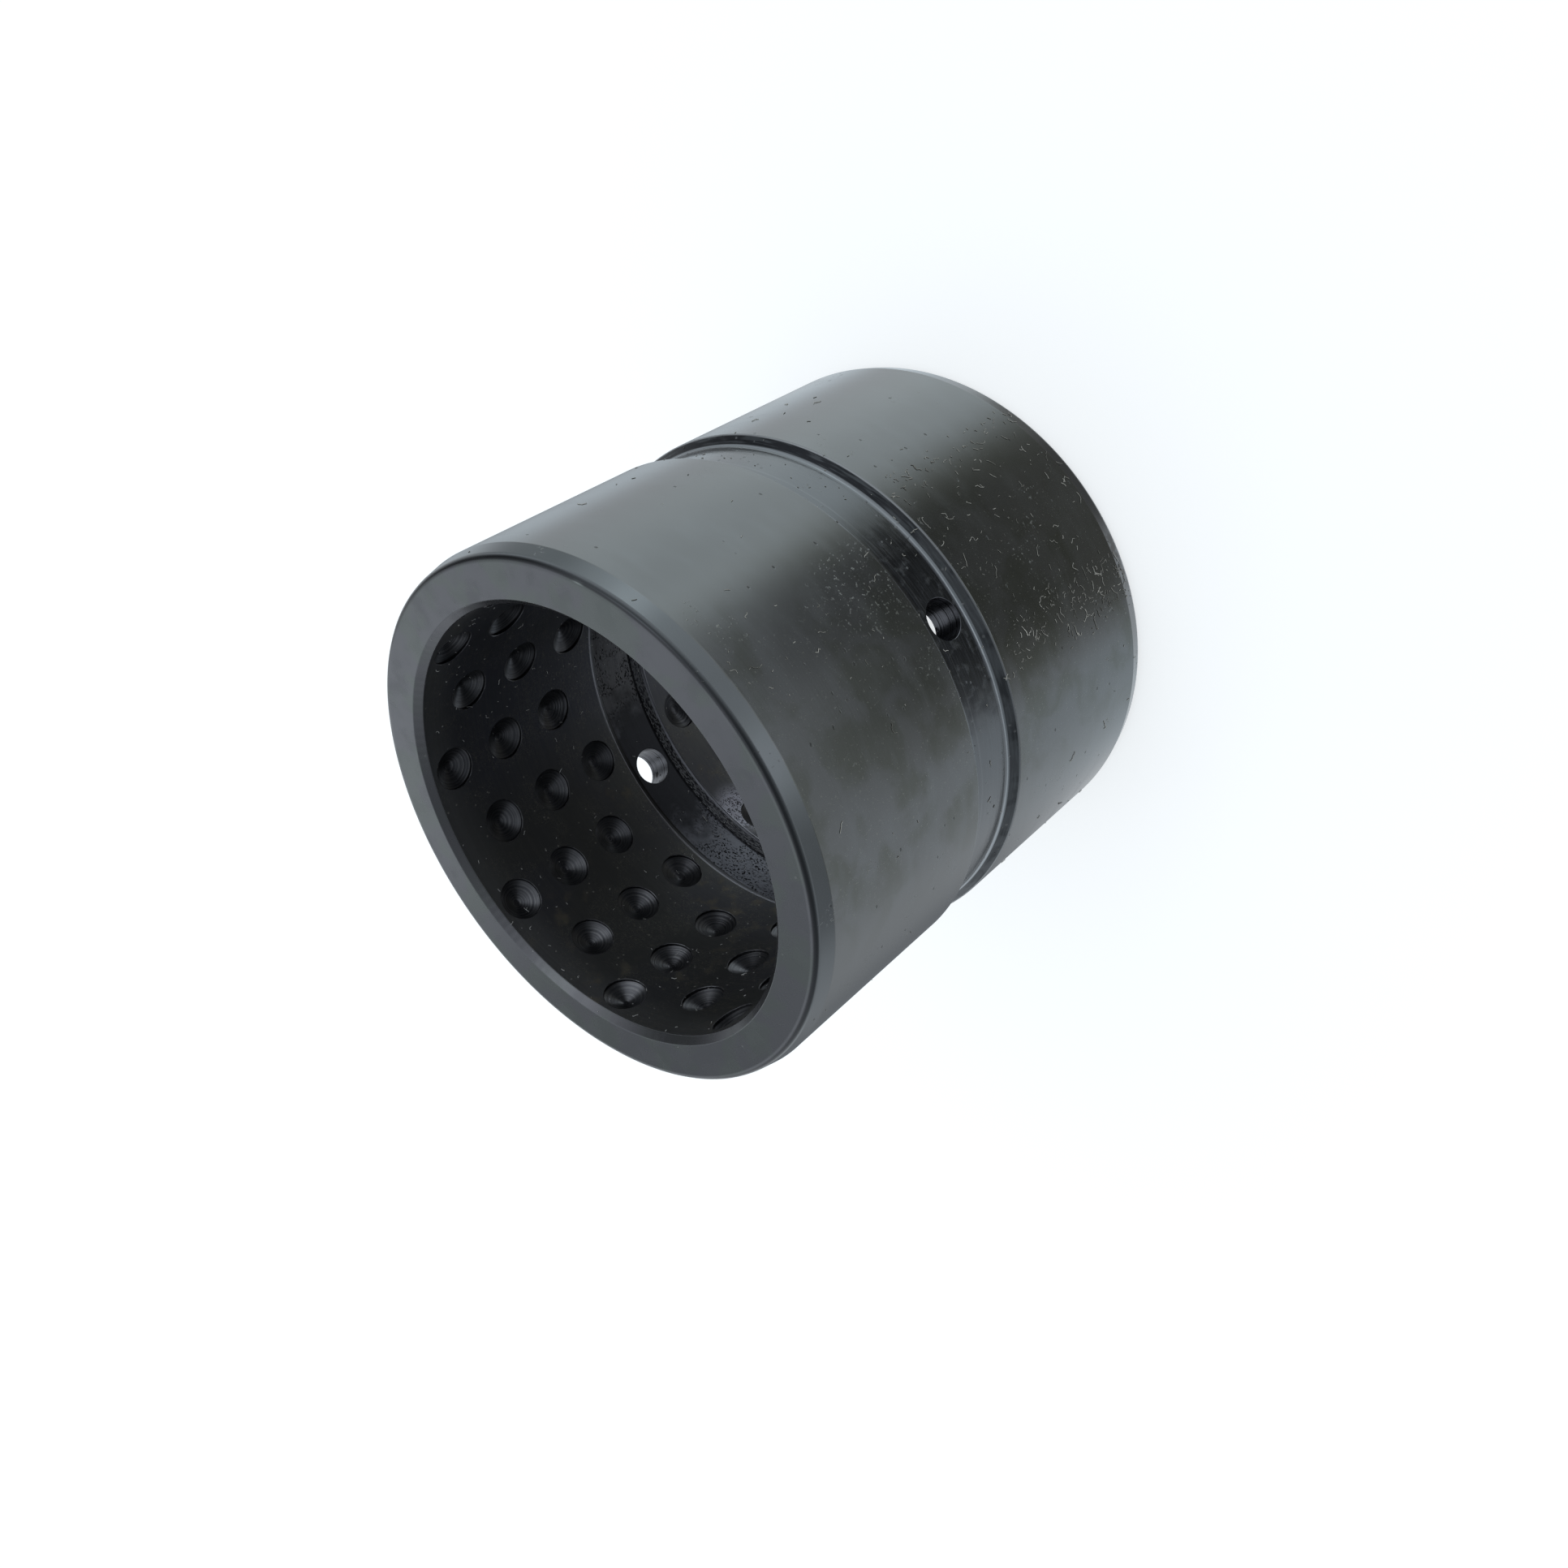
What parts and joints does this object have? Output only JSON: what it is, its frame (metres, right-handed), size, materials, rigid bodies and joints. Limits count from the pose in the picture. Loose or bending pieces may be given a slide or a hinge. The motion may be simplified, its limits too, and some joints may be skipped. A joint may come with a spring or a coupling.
{
  "type": "dimpled steel pin bushing",
  "caption": "Turned and hardened steel sleeve bushing: staggered drilled grease pockets line the bore, with an outer grease groove, an inner relief groove and cross-drilled grease holes.",
  "frame": {"origin": "on the bushing's axis, at its lower end face", "axes": "+Z is the bushing's axis, from the lower end to the upper end; +X goes through one of its two grease holes"},
  "size_m": [0.08, 0.08, 0.08],
  "materials": {
    "black_oxide_steel": "hardened steel, finely turned outside, drilled and black-oxided, lightly oiled"
  },
  "bodies": {
    "root": {"bushing": "black_oxide_steel"}
  },
  "joints": []
}
